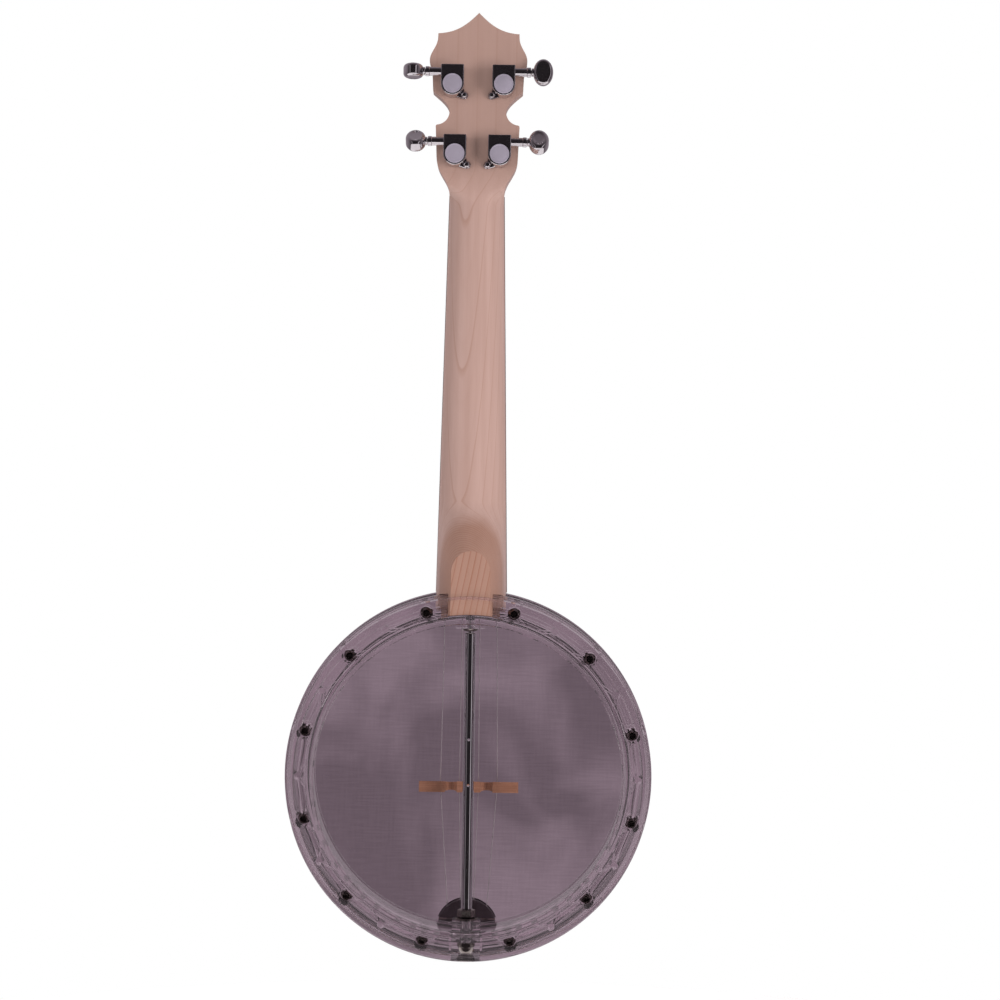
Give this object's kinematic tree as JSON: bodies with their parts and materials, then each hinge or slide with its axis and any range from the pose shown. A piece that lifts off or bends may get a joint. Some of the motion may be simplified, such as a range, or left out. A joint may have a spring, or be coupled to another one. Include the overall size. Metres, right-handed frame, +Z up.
{
  "type": "banjo-ukulele",
  "caption": "Banjo-ukulele with a clear moulded pot, maple neck, bolt-tensioned head, steel coordinator rod, hinged tailpiece lid and geared tuners whose worms turn the posts.",
  "frame": {"origin": "front plane of the neck at the playing edge of the string nut, midway between the headstock's lower lobes, where the arms of a wall hanger hold the instrument", "axes": "+Z up the neck to the headstock, +Y out of the back of the pot, so the strings and the head face -Y; +X completes a right-handed frame"},
  "size_m": [0.233, 0.0584, 0.6021],
  "materials": {
    "clear_pot": "clear moulded plastic, polished",
    "head_film": "translucent film, satin",
    "flesh_hoop": "satin",
    "bolts": "dark plated, polished",
    "chrome": "polished plate",
    "steel": "turned, plain",
    "maple": "satin lacquer",
    "bridge_wood": "bare, fine sanded",
    "fingerboard": "oiled",
    "nut_plastic": "satin",
    "strings": "smooth nylon",
    "cap_plate": "satin plate"
  },
  "bodies": {
    "frame": {"rim_shell": "clear_pot", "tension_hoop": "clear_pot", "head": "head_film", "flesh_hoop": "flesh_hoop", "hoop_bolt_01": "bolts", "hoop_bolt_02": "bolts", "hoop_bolt_03": "bolts", "hoop_bolt_04": "bolts", "hoop_bolt_05": "bolts", "hoop_bolt_06": "bolts", "hoop_bolt_07": "bolts", "hoop_bolt_08": "bolts", "hoop_bolt_09": "bolts", "hoop_bolt_10": "bolts", "hoop_bolt_11": "bolts", "hoop_bolt_12": "bolts", "coordinator_rod": "chrome", "tailpiece_base": "chrome", "rod_collar": "steel", "rod_inner_nut": "steel", "rod_inner_washer": "steel", "rod_outer_washer": "steel", "rod_acorn_nut": "steel", "neck": "maple", "bridge": "bridge_wood", "fingerboard": "fingerboard", "string_nut": "nut_plastic", "string_g": "strings", "string_c": "strings", "string_e": "strings", "string_a": "strings", "tuner_g_housing": "chrome", "tuner_g_bushing": "chrome", "tuner_g_screw": "chrome", "tuner_g_cap": "cap_plate", "tuner_c_housing": "chrome", "tuner_c_bushing": "chrome", "tuner_c_screw": "chrome", "tuner_c_cap": "cap_plate", "tuner_e_housing": "chrome", "tuner_e_bushing": "chrome", "tuner_e_screw": "chrome", "tuner_e_cap": "cap_plate", "tuner_a_housing": "chrome", "tuner_a_bushing": "chrome", "tuner_a_screw": "chrome", "tuner_a_cap": "cap_plate"},
    "g_button": {"tuner_g_worm": "steel", "tuner_g_button": "chrome"},
    "g_post": {"tuner_g_gear_post": "chrome"},
    "c_button": {"tuner_c_worm": "steel", "tuner_c_button": "chrome"},
    "c_post": {"tuner_c_gear_post": "chrome"},
    "e_button": {"tuner_e_worm": "steel", "tuner_e_button": "chrome"},
    "e_post": {"tuner_e_gear_post": "chrome"},
    "a_button": {"tuner_a_worm": "steel", "tuner_a_button": "chrome"},
    "a_post": {"tuner_a_gear_post": "chrome"},
    "tailpiece_lid": {"tailpiece_cover": "chrome"}
  },
  "joints": [
    {"name": "g_button_turn", "type": "hinge", "parent": "frame", "child": "g_button", "pos_m": [-0.0141, 0.0257, 0.0308], "axis": [1, 0, 0], "continuous": true},
    {"name": "g_post_turn", "type": "hinge", "parent": "frame", "child": "g_post", "pos_m": [-0.0141, 0.02, 0.0226], "axis": [0, 1, 0], "continuous": true},
    {"name": "c_button_turn", "type": "hinge", "parent": "frame", "child": "c_button", "pos_m": [-0.0162, 0.0257, 0.075], "axis": [1, 0, 0], "continuous": true},
    {"name": "c_post_turn", "type": "hinge", "parent": "frame", "child": "c_post", "pos_m": [-0.0162, 0.02, 0.0668], "axis": [0, 1, 0], "continuous": true},
    {"name": "e_button_turn", "type": "hinge", "parent": "frame", "child": "e_button", "pos_m": [0.0162, 0.0257, 0.075], "axis": [1, 0, 0], "continuous": true},
    {"name": "e_post_turn", "type": "hinge", "parent": "frame", "child": "e_post", "pos_m": [0.0162, 0.02, 0.0668], "axis": [0, 1, 0], "continuous": true},
    {"name": "a_button_turn", "type": "hinge", "parent": "frame", "child": "a_button", "pos_m": [0.0141, 0.0257, 0.0308], "axis": [1, 0, 0], "continuous": true},
    {"name": "a_post_turn", "type": "hinge", "parent": "frame", "child": "a_post", "pos_m": [0.0141, 0.02, 0.0226], "axis": [0, 1, 0], "continuous": true},
    {"name": "tailpiece_lid_hinge", "type": "hinge", "parent": "frame", "child": "tailpiece_lid", "pos_m": [0, -0.0042, -0.4686], "axis": [1, 0, 0], "range_deg": [0, 100]}
  ],
  "couplings": [
    {"joint": "g_post_turn", "follows": "g_button_turn", "ratio": -0.071429},
    {"joint": "c_post_turn", "follows": "c_button_turn", "ratio": -0.071429},
    {"joint": "e_post_turn", "follows": "e_button_turn", "ratio": 0.071429},
    {"joint": "a_post_turn", "follows": "a_button_turn", "ratio": 0.071429}
  ]
}
